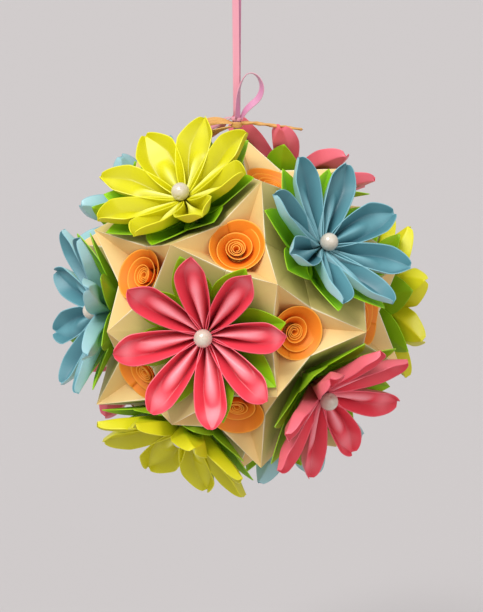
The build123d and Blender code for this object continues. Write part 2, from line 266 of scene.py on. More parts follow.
class Lengths:
    """Lengths that follow from the sizes, in metres, and angles in radians."""

    def __init__(self, sizes):
        root5 = 5 ** 0.5
        self.tip = sizes.edge * GOLDEN
        self.three_face = sizes.edge * GOLDEN ** 2 / 3 ** 0.5
        self.five_face = sizes.edge * ((5 + 2 * root5) / 5) ** 0.5
        self.edge_middle = sizes.edge * (5 + 2 * root5) ** 0.5 / 2
        self.centre = np.array((0, 0, -sizes.hang_height - self.tip))
        self.to_pit = np.arccos(self.three_face / self.tip)
        self.to_well = np.arccos(self.five_face / self.tip)
        self.to_ridge = np.arcsin(sizes.edge / 2 / self.tip)
        self.ridge_turn = np.arccos(np.tan(self.to_ridge) / np.tan(self.to_pit))
        ridge = polar(sizes.ridge_radius, self.to_ridge, self.ridge_turn)
        drop = self.tip - ridge[2]
        self.well = self.tip * ridge[1] / (np.cos(self.to_well) * ridge[1] + np.sin(self.to_well) * drop)
        well_reach = (self.tip ** 2 - self.five_face ** 2) ** 0.5
        self.well_slope = (self.five_face - self.well) / well_reach

    def well_side(self, reach):
        """Height of a well's side above its bottom, at a reach from its axis."""
        return self.well_slope * reach


def facing(lengths, direction, height, lean_up=0.0, lean_side=0.0):
    """Origin and axes of a plane on the ball, its x axis towards the top of the ball."""
    up = unit(UP - direction * direction[2])
    side = np.cross(direction, up)
    out = unit(direction + up * np.tan(np.radians(lean_up)) + side * np.tan(np.radians(lean_side)))
    ahead = unit(UP - out * out[2])
    return lengths.centre + direction * height, np.stack((ahead, np.cross(out, ahead), out))


def placed(points, plane, degrees=0.0):
    """Points of a plane's own frame, turned about its z axis, in the frame of the model."""
    origin, axes = plane
    x, y = spun(points[..., 0], points[..., 1], np.radians(degrees))
    return grid_of(x, y, points[..., 2]) @ axes + origin


# Shapes: a shape holds points, four-sided faces, which faces are smooth, and marks on its points

MARKS = ("back", "fold", "hollow", "crest", "glow", "shade", "u", "v")


def numbered(grid):
    """Numbers of a grid's points, with the first column again after the last."""
    index = np.arange(grid[..., 0].size).reshape(grid.shape[:2])
    return np.hstack((index, index[:, :1]))


def cells(index):
    """Faces of a grid of point numbers."""
    return np.stack((index[:-1, :-1], index[1:, :-1], index[1:, 1:], index[:-1, 1:]), -1).reshape(-1, 4)


def sheet(front, back, ring=False, from_tip=False, **marks):
    """Closed thin shell between two grids of points.

    The front faces to the side where rows cross columns. The border is closed by flat cut edges.
    A ring's last column joins its first, and a shell from a tip has one point for its first row.
    """
    rows, columns = front.shape[:2]
    count = rows * columns
    index = numbered(front) if ring else numbered(front)[:, :-1]
    round_paths = [index[-1, ::-1]]
    if not from_tip:
        round_paths.append(index[0])
    if not ring:
        round_paths += [index[::-1, 0], index[:, -1]]
    cut = np.concatenate([np.stack((p[:-1], p[1:], p[1:] + count, p[:-1] + count), -1)
                          for p in round_paths])
    broad = np.concatenate((cells(index), cells(index)[:, ::-1] + count))
    shape = {"points": np.concatenate((front.reshape(-1, 3), back.reshape(-1, 3))),
             "faces": np.concatenate((broad, cut)),
             "smooth": np.repeat((True, False), (len(broad), len(cut))),
             "back": np.repeat((0.0, 1.0), (count, count))}
    for name, values in marks.items():
        shape[name] = np.tile(np.broadcast_to(values, (rows, columns)).ravel(), 2)
    return shape


def skin(grid, index, **marks):
    """Smooth surface of a grid of points, its faces from a grid of point numbers."""
    faces = cells(index)
    shape = {"points": grid.reshape(-1, 3), "faces": faces, "smooth": np.ones(len(faces), bool)}
    for name, values in marks.items():
        shape[name] = np.broadcast_to(values, grid.shape[:2]).ravel()
    return shape


def closed(grid, **marks):
    """Closed surface of a grid whose columns go round and whose end rows are each one point."""
    return skin(grid, numbered(grid), **marks)


def hoop(grid, **marks):
    """Closed surface of a grid that goes round in both its rows and its columns."""
    index = numbered(grid)
    return skin(grid, np.vstack((index, index[:1])), **marks)


def piece(name, shapes, material, nodes, merge=False):
    """Object of one or more shapes, which rides on the ball and stands for its CAD nodes."""
    same_point = 1e-7
    offsets = np.cumsum([0] + [len(s["points"]) for s in shapes[:-1]])
    points = np.concatenate([s["points"] for s in shapes])
    faces = np.concatenate([s["faces"] + offset for s, offset in zip(shapes, offsets)])
    smooth = np.concatenate([s["smooth"] for s in shapes])
    mesh = bpy.data.meshes.new(name)
    mesh.from_pydata(points.tolist(), [], faces.tolist())
    mesh.polygons.foreach_set("use_smooth", smooth)
    marks = {}
    for mark in MARKS:
        marks[mark] = np.concatenate([s.get(mark, np.zeros(len(s["points"]))) for s in shapes])
        attribute = mesh.attributes.new(mark, "FLOAT", "POINT")
        attribute.data.foreach_set("value", marks[mark].astype(np.float32))
    corner = np.empty(len(mesh.loops), np.int32)
    mesh.loops.foreach_get("vertex_index", corner)
    layer = mesh.uv_layers.new(name="sheet")
    layer.data.foreach_set("uv", np.stack((marks["u"], marks["v"]), -1)[corner].astype(np.float32).ravel())
    if merge:
        bm = bmesh.new()
        bm.from_mesh(mesh)
        bmesh.ops.remove_doubles(bm, verts=bm.verts, dist=same_point)
        bm.to_mesh(mesh)
        bm.free()
    mesh.materials.append(bpy.data.materials[material])
    mesh.update()
    obj = bpy.data.objects.new(name, mesh)
    bpy.context.scene.collection.objects.link(obj)
    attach(obj, "root")
    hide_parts(*nodes)
    return obj


# Materials

def linear(value):
    """Colour for a shader, from a colour as it looks on screen, by the screen's own curve."""
    value = np.asarray(value[:3], float)
    light = np.where(value <= 0.04045, value / 12.92, ((value + 0.055) / 1.055) ** 2.4)
    return (*light.tolist(), 1.0)


def tinted(value, saturation, brightness):
    """A colour with its saturation and brightness multiplied."""
    value = np.asarray(value[:3], float)
    return np.clip(between(value.mean(), value, saturation) * brightness, 0, 1)


class Tree:
    """Node tree of a new material or world, with short calls for its nodes."""

    def __init__(self, owner):
        owner.use_nodes = True
        self.owner = owner
        self.tree = owner.node_tree

    def node(self, kind, inputs=None, **settings):
        """New node with its inputs joined or set."""
        made = self.tree.nodes.new("ShaderNode" + kind)
        for name, value in settings.items():
            setattr(made, name, value)
        for name, value in (inputs or {}).items():
            self.put(made.inputs[name], value)
        return made

    def put(self, socket, value):
        """Joins a socket to another node's, or sets its value."""
        if isinstance(value, bpy.types.NodeSocket):
            self.tree.links.new(value, socket)
        else:
            socket.default_value = value

    def mark(self, name):
        """Value of a mark on the mesh."""
        return self.node("Attribute", attribute_name=name).outputs["Fac"]

    def mix(self, factor, first, second):
        """Colour between two colours."""
        return self.node("MixRGB", {"Fac": factor, "Color1": first, "Color2": second}).outputs["Color"]

    def maths(self, operation, *values):
        """Result of a sum or product of values."""
        made = self.node("Math", operation=operation)
        for socket, value in zip(made.inputs, values):
            self.put(socket, value)
        return made.outputs["Value"]

    def lit(self, base, light):
        """A colour made lighter or darker."""
        return self.node("HueSaturation", {"Value": light, "Color": base}).outputs["Color"]

    def place(self):
        """Object coordinates, in metres."""
        return self.node("TexCoord").outputs["Object"]

    def flat(self):
        """Place on the flat strip, in metres, across it and along it."""
        return self.node("UVMap", uv_map="sheet").outputs["UV"]

    def noise(self, vector, scale, detail=2.0, rough=0.5):
        """Cloudy value from 0 to 1."""
        inputs = {"Vector": vector, "Scale": scale, "Detail": detail, "Roughness": rough}
        return self.node("TexNoise", inputs).outputs["Fac"]

    def streaks(self, flat, across, along, detail, rough=0.5):
        """Cloudy value from 0 to 1, drawn out along a strip."""
        drawn = self.node("Mapping", {"Vector": flat, "Scale": (across, along, 1)})
        return self.noise(drawn.outputs["Vector"], 1, detail, rough)

    def finish(self, base, bump=None, **values):
        """Sets the shader's colour and even values, and its bump by height, strength and distance."""
        shader = self.tree.nodes["Principled BSDF"]
        self.put(shader.inputs["Base Color"], base)
        for name, value in values.items():
            self.put(shader.inputs[name.replace("_", " ").title()], value)
        if bump is not None:
            height, strength, distance = bump
            made = self.node("Bump", {"Height": height, "Strength": strength, "Distance": distance})
            self.put(shader.inputs["Normal"], made.outputs["Normal"])
        return self.owner


def paper(name, face, roughness, fold, back, hollow, crest=None, glow=None):
    """Paper with faint clouds and fibres, a paler painted highlight along its folds, and painted shade in
    its hollows.

    Marks on the mesh say where: fold on rims and creases for the painted highlight there, back on the
    sheet's underside, painted shade deep inside, a painted highlight on top of a bulge, orange light from
    the roses painted beside them, and shade for how light each folded square came out.
    """
    cloud_part, fibre_part, fold_highlight_part = 0.12, 0.06, 0.85
    t = Tree(bpy.data.materials.new(name))
    place = t.place()
    clouds = t.noise(place, 55, 3)
    fibres = t.noise(place, 1600, 3, 0.65)
    # Painted shade in the hollows
    base = t.mix(t.mark("hollow"), linear(face), linear(hollow))
    if glow is not None:
        # Painted orange light reflected from the roses
        base = t.mix(t.mark("glow"), base, linear(glow))
    if crest is not None:
        # Painted highlight on crests, broken up by clouds
        streaks = t.maths("MULTIPLY_ADD", t.noise(place, 240), 0.5, 0.72)
        base = t.mix(t.maths("MULTIPLY", t.mark("crest"), streaks), base, linear(crest))
    base = t.mix(t.mark("back"), base, linear(back))
    # Painted highlight along folds and rims
    base = t.mix(t.maths("MULTIPLY", t.mark("fold"), fold_highlight_part), base, linear(fold))
    light = t.maths("MULTIPLY_ADD", clouds, cloud_part, 1 - (cloud_part + fibre_part) / 2)
    light = t.maths("ADD", t.maths("MULTIPLY_ADD", fibres, fibre_part, light), t.mark("shade"))
    grain = t.maths("MULTIPLY_ADD", fibres, 0.7, t.maths("MULTIPLY", t.noise(place, 420), 0.5))
    return t.finish(t.lit(base, light), bump=(grain, 0.16, 0.12 * MM), roughness=roughness)


def pearl(colours):
    """Pearly bead: pale with faint pink and grey clouds under a clear gloss."""
    t = Tree(bpy.data.materials.new("pearl_bead"))
    place = t.place()
    dark, pale, speckle = tinted(colours.pearl, 1.3, 0.86), (0.95, 0.93, 0.90), (0.70, 0.62, 0.50)
    base = t.mix(t.noise(place, 320, 4, 0.6), linear(dark), linear(pale))
    base = t.mix(t.maths("MULTIPLY", t.noise(place, 500, 3), 0.7), base, linear(speckle))
    return t.finish(base, bump=(t.noise(place, 700), 0.08, 0.2 * MM), roughness=0.24,
                    coat_weight=0.8, coat_roughness=0.05, sheen_weight=0.3)


def satin(colours):
    """Satin ribbon: fine crosswise ribs, a soft lengthwise sheen, one side salmon, one mauve."""
    # The weave is two sines, and these are their radians in a metre
    rib_sine, thread_sine = 14000, 9000
    selvedge = (0.93, 0.70, 0.74)
    t = Tree(bpy.data.materials.new("satin_ribbon_weave"))
    flat = t.flat()
    parts = t.node("SeparateXYZ", {"Vector": flat})
    base = t.mix(t.mark("back"), linear(colours.salmon), linear(colours.mauve))
    base = t.mix(t.maths("MULTIPLY", t.mark("fold"), 0.5), base, linear(selvedge))
    ribs = t.maths("SINE", t.maths("MULTIPLY", parts.outputs["Y"], rib_sine))
    threads = t.maths("SINE", t.maths("MULTIPLY", parts.outputs["X"], thread_sine))
    weave = t.maths("MULTIPLY_ADD", threads, 0.6, ribs)
    light = t.maths("MULTIPLY_ADD", t.streaks(flat, 2600, 60, 2), 0.22, 0.88)
    return t.finish(t.lit(base, light), bump=(weave, 0.12, 0.05 * MM), roughness=0.34,
                    sheen_weight=0.35, sheen_roughness=0.4, anisotropic=0.5)


def raffia(colours):
    """Raffia: long dry fibres side by side, from straw to a darker tan."""
    dark, straw, rim = tinted(colours.raffia, 1.15, 0.70), (0.97, 0.74, 0.42), (0.99, 0.82, 0.52)
    t = Tree(bpy.data.materials.new("raffia_fibres"))
    fibres = t.streaks(t.flat(), 2600, 45, 4, 0.7)
    base = t.mix(fibres, linear(dark), linear(straw))
    base = t.mix(t.maths("MULTIPLY", t.mark("fold"), 0.4), base, linear(rim))
    return t.finish(base, bump=(fibres, 0.5, 0.3 * MM), roughness=0.5, sheen_weight=0.1)


def finishes(colours):
    """All the materials, made once and then found again by name."""
    # Each paper's fold colour is a painted highlight on its folds and rims, its colour for hollows painted
    # shade, and its colour for crests a painted highlight. The cream's olive for hollows is painted shade
    # with a painted green reflection of the leaves, and its orange beside the roses is their painted
    # reflected light.
    paper("cream_card", colours.cream, 0.6, fold=(1.0, 0.98, 0.90), back=tinted(colours.cream, 1, 0.9),
          hollow=(0.66, 0.64, 0.30), glow=(0.89, 0.55, 0.16))
    paper("orange_rose_paper", colours.orange, 0.6, fold=(1.0, 0.68, 0.22), back=(0.97, 0.56, 0.12),
          hollow=(0.84, 0.36, 0.02))
    paper("pink_petal_paper", colours.pink, 0.4, fold=(0.93, 0.37, 0.44), back=(0.92, 0.42, 0.48),
          hollow=(0.66, 0.05, 0.13), crest=(0.98, 0.60, 0.64))
    paper("yellow_petal_paper", colours.yellow, 0.42, fold=(0.91, 0.89, 0.13), back=(0.85, 0.83, 0.10),
          hollow=(0.70, 0.67, 0.01), crest=(0.99, 0.98, 0.48))
    paper("blue_petal_paper", colours.blue, 0.42, fold=(0.50, 0.71, 0.75), back=(0.64, 0.82, 0.85),
          hollow=(0.10, 0.29, 0.35), crest=(0.46, 0.67, 0.71))
    paper("green_leaf_paper", colours.green, 0.5, fold=(0.60, 0.80, 0.07), back=(0.55, 0.76, 0.06),
          hollow=(0.30, 0.50, 0.01), crest=(0.66, 0.86, 0.06))
    pearl(colours)
    satin(colours)
    raffia(colours)


# Folded paper

def unit_shape(lengths, sizes, number):
    """Folded unit about its corner tip, the tip straight up and a pit along x.

    A point is the tip plus a share of the way to the border, and the border runs straight from
    pit bottom to ridge middle to well bottom and on round, in eight panels. Each panel bows by a
    hair, as the product of two arcs, by a sine of its own number and the unit's.
    """
    border_gap, most_bow, unit_phase, panel_phase = 0.02 * MM, 0.35 * MM, 2.4, 1.9
    half, quarter = np.pi, np.pi / 2
    ridge_turns = (lengths.ridge_turn, half - lengths.ridge_turn, half + lengths.ridge_turn,
                   -lengths.ridge_turn)
    ridges = [polar(sizes.ridge_radius, lengths.to_ridge, turn) for turn in ridge_turns]
    pit, well = (sizes.pit_radius, lengths.to_pit), (lengths.well, lengths.to_well)
    bottoms = [polar(*pit, 0), polar(*well, quarter), polar(*pit, half), polar(*well, -quarter)]
    tip = UP * lengths.tip
    border = np.array([p for pair in zip(bottoms, ridges) for p in pair])
    border += unit(tip - border) * border_gap
    panels = len(border)
    # Points stand closer beside the folds and the cut border
    steps = np.array((0, 0.02, 0.055, 0.2, 0.4, 0.6, 0.8, 0.945, 0.98))
    line = between(border[:, None], np.roll(border, -1, 0)[:, None], steps[None, :, None]).reshape(-1, 3)
    out = np.array((0, 0.015, 0.05, 0.12, 0.22, 0.34, 0.46, 0.58, 0.7, 0.82, 0.93, 0.985, 1.0))[:, None]
    grid = tip + (line - tip) * out[..., None]
    panel = np.repeat(np.arange(panels), len(steps))
    step = np.tile(steps, panels)
    bow = most_bow * np.sin(number * unit_phase + panel * panel_phase) * arc(step) * arc(out)
    grid += unit(grid) * bow[..., None]
    from_ridge = panel % 2 == 1
    ridge = from_ridge & (step == 0)
    beside = np.where(from_ridge, step == steps[1], step == steps[-1])
    in_pit = np.isin(panel, (0, 3, 4, 7))
    depth = np.where(from_ridge, step, 1 - step) * out
    # Wells get painted shade with a painted green reflection of the leaves, and pits painted orange light
    # reflected from the roses, both growing away from the ridges and towards the border; ridges and the
    # lines beside them get a painted highlight.
    hollow = np.where(in_pit | ridge, 0, between(0.25, 1, depth))
    glow = np.where(in_pit & ~ridge, between(0.05, 1, depth ** 1.6), 0)
    return sheet(grid, grid - unit(grid) * sizes.unit_sheet, ring=True, from_tip=True,
                 fold=ridge + 0.35 * beside, hollow=hollow, glow=glow, u=line[:, 0] * out,
                 v=line[:, 1] * out)


def swelling(sizes, along, widest, most, power):
    """Half width of a petal or leaf, which swells to its most as the sine of the way there."""
    root = sizes.petal_start * np.tan(np.pi / PETALS - np.radians(2))
    return between(root, most, np.sin(np.pi / 2 * ramp(along, 0, widest) ** power))


def rolled(sizes, along, reach, keel, y, z, roll):
    """Points of a petal or leaf along x, rolled a little about its keel, more towards its point."""
    tilt = np.sin(roll) * along
    return grid_of(between(sizes.petal_start, reach, along), y - (z - keel) * tilt, z + y * tilt)


def petal_shape(sizes, root_height, tip_height, widen, lift, roll, skew, sharp, shade):
    """Petal along x: a deep folded cup with a rounded tongue lying in it.

    Its half width swells with the sine of the way out and closes to a point past the shoulder,
    where its middle line is drawn aside. Its height is the keel, which sags before the point,
    plus walls that rise from two valleys to the rim, plus the tongue, an arch between the valleys
    that sinks outwards and ends in a half round. A sharp tongue is creased along its middle.
    """
    shoulder, wall_loss, tongue_sinks = 0.70, 3.8 * MM, 0.92
    # Of each pair, a soft petal has the first value and a sharp one the second
    sag, closing = between(1.2, 0.2, sharp) * MM, between(2.4, 1.0, sharp)
    tongue_bends, tongue_ends = between(0.50, 0.28, sharp), between(0.79, 0.59, sharp)
    highlight_power, tip_highlight = between(0.9, 5.5, sharp), between(0.65, 0, sharp)
    along = np.linspace(0, 1, 34)[:, None]
    column = mirrored(0, 0.12, 0.24, 0.35, 0.44, 0.5, 0.55, 0.63, 0.72, 0.82, 0.91, 0.965, 1.0)
    away = np.abs(column)
    past = ramp(along, shoulder, 1)
    width = swelling(sizes, along, shoulder, sizes.petal_half_width * widen, 0.8)
    width = width * (1 - past ** closing) + POINT_WIDTH * past
    # The inner columns lie on the tongue up to its valleys, and the outer ones on the walls
    on_tongue = away <= 0.5
    valley = between(0.45, 0.55, ramp(along, 0, 0.6))
    across = np.where(on_tongue, 2 * away * valley, between(valley, 1, 2 * away - 1))
    wall = (sizes.petal_wall - wall_loss * along) * (1 - past ** 2.6) ** 0.5
    rise = wall * ramp(away, 0.5, 1) ** 1.25
    ending = np.maximum((along - tongue_bends) / (tongue_ends - tongue_bends), 0)
    inside = np.clip(1 - (across / valley) ** 2 - ending ** 2, 0, 1)
    crease = np.clip(1 - across / valley, 0, 1) * np.clip(1 - ending ** 2, 0, 1) ** 0.6
    arch = between(inside ** 0.75, crease, sharp)
    tongue = sizes.petal_wall * ramp(along, tongue_sinks, 0) ** 1.1 * arch
    keel = between(root_height, tip_height, along) - sag * bell(along, 0.80, 0.13) * (1 - along ** 12)
    y = np.sign(column) * across * width + skew * sizes.petal_half_width * past ** 1.6
    z = keel + rise + tongue + lift * along ** 2
    grid = rolled(sizes, along, sizes.petal_reach, keel, y, z, roll)
    # Painted shade lies along the valleys, less towards the point, and painted highlights lie on the
    # tongue's crest, before the point, and along the rims and the point
    deep = ramp(np.abs(across - valley), 0.38, 0) * ramp(along, 1.25, 0.25)
    crest = 0.95 * inside ** highlight_power * ramp(along, 0, 0.12) * on_tongue
    crest = crest + tip_highlight * bell(along, 0.86, 0.07) * (1 - across ** 2)
    return sheet(grid, grid - normals(grid) * sizes.petal_sheet, fold=(away == 1) | (along == 1),
                 hollow=0.95 * deep, crest=np.clip(crest, 0, 1), shade=shade, u=grid[..., 1],
                 v=grid[..., 0])


def leaf_shape(sizes, root_height, root_wall, tip_height, widen, roll, shade):
    """Leaf along x: one square folded in two and opened, a straight keel between two walls.

    Its half width swells with the sine of the way to its widest place, and closes from there. Its
    height is the keel plus the wall, which grows with the share of the width across.
    """
    widest, wall_at_widest = 0.55, 3 * MM
    along = np.linspace(0, 1, 24)[:, None]
    column = mirrored(0, 0.03, 0.2, 0.4, 0.6, 0.78, 0.92, 0.965, 1.0)
    away = np.abs(column)
    past = ramp(along, widest, 1)
    width = swelling(sizes, along, widest, sizes.leaf_half_width * widen, 0.85)
    width = width * (1 - past ** 1.7) + POINT_WIDTH * past
    wall = between(root_wall, wall_at_widest, ramp(along, 0, widest)) * (1 - past ** 1.5)
    keel = between(root_height, tip_height, along)
    grid = rolled(sizes, along, sizes.leaf_reach, keel, column * width, keel + wall * away ** 1.1, roll)
    # Painted shade lies along the keel's crease, less towards the point, a painted highlight on the outer
    # part of each wall, growing towards the point, and another along the rims and the point.
    crease = ramp(away, 0.6, 0) * (1 - along)
    crest = ramp(away, 0.35, 0.85) * ramp(along, 1 / 7, 6 / 7)
    return sheet(grid, grid - normals(grid) * sizes.petal_sheet, fold=(away == 1) | (along == 1),
                 hollow=0.9 * crease, crest=0.7 * crest, shade=shade, u=grid[..., 1], v=grid[..., 0])


def pit_opening(lengths, sizes):
    """Radius that a pit has round its axis, for each metre above its bottom.

    A panel of the pit is the plane through its bottom, a corner tip and the middle of a ridge.
    """
    ridge = polar(sizes.ridge_radius, np.arccos(lengths.three_face / lengths.edge_middle), np.pi / 3)
    tip = np.array((sizes.edge / 3 ** 0.5, 0, lengths.three_face))
    bottom = UP * sizes.pit_radius
    slope = np.cross(tip - bottom, ridge - bottom)
    return abs(slope[2]) / np.hypot(slope[0], slope[1])


def rose_shape(lengths, sizes, number):
    """Rolled strip: its distance from the axis grows with the turns, half of it evenly and half
    of it in one soft step that opens a wide bowl inside the last turns.

    From foot to rim the strip leans outwards in a soft curve, and the rim of each turn stands
    higher than the last and sways a little. The strip's end is tucked in.
    """
    hand = np.random.default_rng(ROSE_SEED + number)
    core, taper, half_sheet, foot_gap = 1.0 * MM, 0.45, 0.15 * MM, 0.55 * MM
    dip, most_sway, most_tuck, most_uneven = 4.6 * MM, 0.6 * MM, 1.2 * MM, 0.04
    steps_in_a_turn, uneven_waves, sway_waves, high_turns, tucked_turns = 40, 1.37, 0.83, 1.6, 0.22
    turns = sizes.rose_turns
    way = np.linspace(0, 1, int(turns * steps_in_a_turn))[:, None]
    angle = way * turns * 2 * np.pi
    up = np.array((0, 0.2, 0.4, 0.6, 0.75, 0.87, 0.96, 1.0))[None, :]
    opening = hand.uniform(0.44, 0.52)
    step = ramp(way, opening, opening + 0.4)
    radius = between(core, sizes.rose_radius, (way + soft_step(step)) / 2)
    uneven = np.sin(angle * uneven_waves + hand.uniform(0, 6)) * np.sin(np.pi * way) ** 0.5
    sway = most_sway * way * np.sin(angle * sway_waves + hand.uniform(0, 6))
    tuck = most_tuck * ramp(way * turns, turns - tucked_turns, turns) ** 2
    reach = (radius * (1 + most_uneven * uneven) - tuck) * between(taper, 1, up ** 1.15)
    foot = (sizes.rose_radius * taper + foot_gap) / pit_opening(lengths, sizes)
    climb = between(way, ramp(way * turns, turns - high_turns, turns), 0.65)
    height = between(foot, foot + sizes.rose_wall - dip + dip * climb + sway - tuck, up)
    # Painted shade darkens the strip towards its foot, more in the inner turns, and a painted highlight
    # runs along the rim.
    return sheet(turned(reach - half_sheet, angle, height), turned(reach + half_sheet, angle, height),
                 fold=up == 1, hollow=(1 - up) * (1 - 0.4 * way), shade=hand.uniform(-0.03, 0.03),
                 u=height, v=angle * sizes.rose_radius / 2)


def pearl_shape(sizes, plane):
    """Bead: a ball drilled through from side to side, its surface drawn in at the two hole mouths.

    Rows run from one hole to the other, and the radius dips as a bell at each of them.
    """
    hole_turn, hole_dip, hole_reach = 22, 0.12, 0.12
    tilt = np.linspace(0, np.pi, 33)[:, None]
    turn = full_turn(48)[None, :]
    radius = sizes.pearl_radius * (1 - hole_dip * bell(np.minimum(tilt, np.pi - tilt), 0, hole_reach))
    ball = grid_of(radius * np.cos(tilt), radius * np.sin(tilt) * np.cos(turn),
                   radius * np.sin(tilt) * np.sin(turn))
    return closed(placed(ball + UP * sizes.pearl_height, plane, hole_turn), u=turn, v=tilt)


# Ribbon and raffia

def smooth_route(points, samples=8):
    """Curve through the middles of a route's runs, bending at its points: from each middle to the
    next by the squares of the share left, twice the product, and the share done."""
    points = np.asarray(points, float)
    middles = (points[1:] + points[:-1]) / 2
    start = np.vstack((points[:1], middles[1:-1]))[:, None]
    bend = points[1:-1, None]
    end = np.vstack((middles[1:-1], points[-1:]))[:, None]
    done = np.linspace(0, 1, samples, endpoint=False)[None, :, None]
    line = start * (1 - done) ** 2 + 2 * bend * done * (1 - done) + end * done ** 2
    return np.vstack((line.reshape(-1, points.shape[1]), points[-1:]))


def square_axes(line, across):
    """Directions across a line, as near as can be to the given ones, and through it."""
    run = unit(np.gradient(line, axis=0))
    across = unit(across - run * (across * run).sum(-1, keepdims=True))
    return across, np.cross(run, across)


def strip_shape(line, across, width, thick, columns=9, crown=0.0, ripple=0.0):
    """Flat strip that follows a line: each row of points lies across the line, the given way.

    Its points stand closer towards the edges. A row rises by the crown times one less the square
    of the place across, and by the ripple.
    """
    across, through = square_axes(line, across)
    place = signed_power(np.linspace(-1, 1, columns), 0.85)
    rise = crown * (1 - place ** 2) + ripple
    grid = line[:, None] + across[:, None] * (place * width / 2)[None, :, None]
    grid = grid + through[:, None] * rise[..., None]
    half = through[:, None] * thick / 2
    travelled = np.concatenate(((0,), np.cumsum(np.linalg.norm(np.diff(line, axis=0), axis=1))))
    return sheet(grid + half, grid - half, fold=np.abs(place) == 1, u=place * width / 2,
                 v=travelled[:, None])


def band_line(route, heading, sizes, samples=8):
    """Line and crosswise directions of a band near the top corner.

    A route point has its reach along the heading, its offset to the left, its height above the
    top corner, and the band's twist in degrees: level at 0, upright at 90.
    """
    turn = np.radians(heading)
    ahead, left = np.array((np.cos(turn), np.sin(turn), 0)), np.array((-np.sin(turn), np.cos(turn), 0))
    smooth = smooth_route(route, samples)
    line = smooth[:, :3] @ np.stack((ahead, left, UP)) * MM - UP * sizes.hang_height
    level, through = square_axes(line, left)
    twist = np.radians(smooth[:, 3:])
    return line, level * np.cos(twist) - through * np.sin(twist)


def tie_shape(sizes, height, tall, pleats):
    """Binding round the knot: a ring with a rounded section, pulled into a few pleats.

    Reach and height are the signed 0.7th powers of the section's cosine and sine, plus a ripple.
    """
    radius, hole, pull = 2.5 * MM, 1.7 * MM, 0.05 * MM
    turn = full_turn(60)[:, None]
    section = full_turn(20)[None, :]
    reach = (radius + hole) / 2 + signed_power(np.cos(section), 0.7) * (radius - hole) / 2
    reach = reach + pull * np.cos(section * pleats + np.sin(turn * 2))
    rise = signed_power(np.sin(section), 0.7) * tall / 2 * (1 + 0.08 * np.sin(turn * 3))
    grid = turned(reach, turn, rise + height + tall / 2 - sizes.hang_height)
    return hoop(grid[::-1], u=section * 0.8 * MM, v=turn * 2 * MM)


def knot_shape(sizes):
    """Knot, stem and stopper: a profile of radius by height, turned about the axis and drawn into
    twisted pleats, which are a cosine of the turn and the height."""
    pleats, pleat_depth, pleats_from, twist = 7, 0.07, 1.2 * MM, 900
    profile = np.array(((-8.9, 0.0), (-8.9, 1.4), (-8.2, 2.1), (-6.6, 2.2), (-5.2, 1.9), (-4.8, 0.9),
                        (-3.0, 0.78), (-0.2, 0.8), (0.3, 1.1), (1.0, 1.5), (2.6, 1.45), (4.2, 1.6),
                        (5.6, 1.5), (6.4, 1.6), (6.9, 1.2), (7.0, 0.0)))
    smooth = smooth_route(profile, 5) * MM
    height, radius = smooth[:, :1], smooth[:, 1:]
    turn = full_turn(56)[None, :]
    drawn = 1 + pleat_depth * np.cos(pleats * turn + height * twist) * ramp(radius, 0, pleats_from)
    grid = turned(radius * drawn, turn, height - sizes.hang_height)
    return closed(grid[:, ::-1], back=0.5 + 0.5 * np.sin(pleats * turn), u=turn * 1.5 * MM, v=height)


def tail_shape(sizes):
    """Twisted raffia tail: its section is a circle with a two-lobed and a five-lobed cosine, which
    turn on along the way, and it thins to a point at both ends."""
    most_radius, end_length, thinning = 0.8 * MM, 1 / 60, 0.25
    tail, level = band_line([(2.0, -0.8, 3.8, 45), (5.0, -1.4, 4.3, 45), (11.0, -2.0, 3.7, 45),
                             (18.0, -2.6, 2.8, 45), (24.0, -3.0, 2.1, 45), (29.6, -3.2, 1.3, 45)],
                            0, sizes, 16)
    side, other = square_axes(tail, level)
    turn = full_turn(16)[None, :]
    way = np.linspace(0, 1, len(tail))[:, None]
    taper = ramp(np.minimum(way, 1 - way), 0, end_length) ** 0.5 * (1 - thinning * way)
    lobes = 1 + 0.22 * np.cos(2 * turn + way * 26) + 0.08 * np.cos(5 * turn - way * 40)
    radius = most_radius * taper * lobes
    rod = tail[:, None] + side[:, None] * (radius * np.cos(turn))[..., None] \
        + other[:, None] * (radius * np.sin(turn))[..., None]
    return closed(rod[:, ::-1], u=turn * 0.6 * MM, v=way * 28 * MM)


# Stage

def seen_from(turn, height):
    """Direction to a place in front of the ball, turned to the right and raised, in degrees."""
    turn, height = np.radians(turn), np.radians(height)
    return Vector((np.sin(turn) * np.cos(height), -np.cos(turn) * np.cos(height), np.sin(height)))


def aimed(name, data, source):
    """Camera or lamp that looks back along the direction to its source."""
    made = bpy.data.objects.new(name, data)
    made.rotation_mode = "QUATERNION"
    made.rotation_quaternion = source.to_track_quat("Z", "Y")
    bpy.context.scene.collection.objects.link(made)
    return made


def even_sky(backdrop):
    """World with an even white light, which the camera and glossy pieces see as the backdrop."""
    t = Tree(bpy.data.worlds.new("even_sky"))
    light = t.tree.nodes["Background"]
    t.put(light.inputs["Strength"], 0.52)
    t.put(light.inputs["Color"], (1, 1, 1, 1))
    seen = t.node("Background", {"Color": linear(backdrop)})
    path = t.node("LightPath")
    shown = path.outputs["Is Camera Ray"]
    for ray in ("Is Glossy Ray", "Is Transmission Ray"):
        shown = t.maths("MAXIMUM", shown, path.outputs[ray])
    swap = t.node("MixShader", {"Fac": shown})
    t.put(swap.inputs[1], light.outputs["Background"])
    t.put(swap.inputs[2], seen.outputs["Background"])
    t.put(t.tree.nodes["World Output"].inputs["Surface"], swap.outputs["Shader"])
    return t.owner


def pale_floor(backdrop):
    """Wide round floor under the ball."""
    floor_height, floor_radius = -0.46, 14.0
    rim = turned(floor_radius, full_turn(96), floor_height)
    mesh = bpy.data.meshes.new("floor")
    mesh.from_pydata(rim.tolist(), [], [list(range(len(rim)))])
    t = Tree(bpy.data.materials.new("pale_floor"))
    mesh.materials.append(t.finish(linear(tinted(backdrop, 1, 0.925)), roughness=0.9))
    floor = bpy.data.objects.new("floor", mesh)
    bpy.context.scene.collection.objects.link(floor)


# Operators, one for each kind of piece

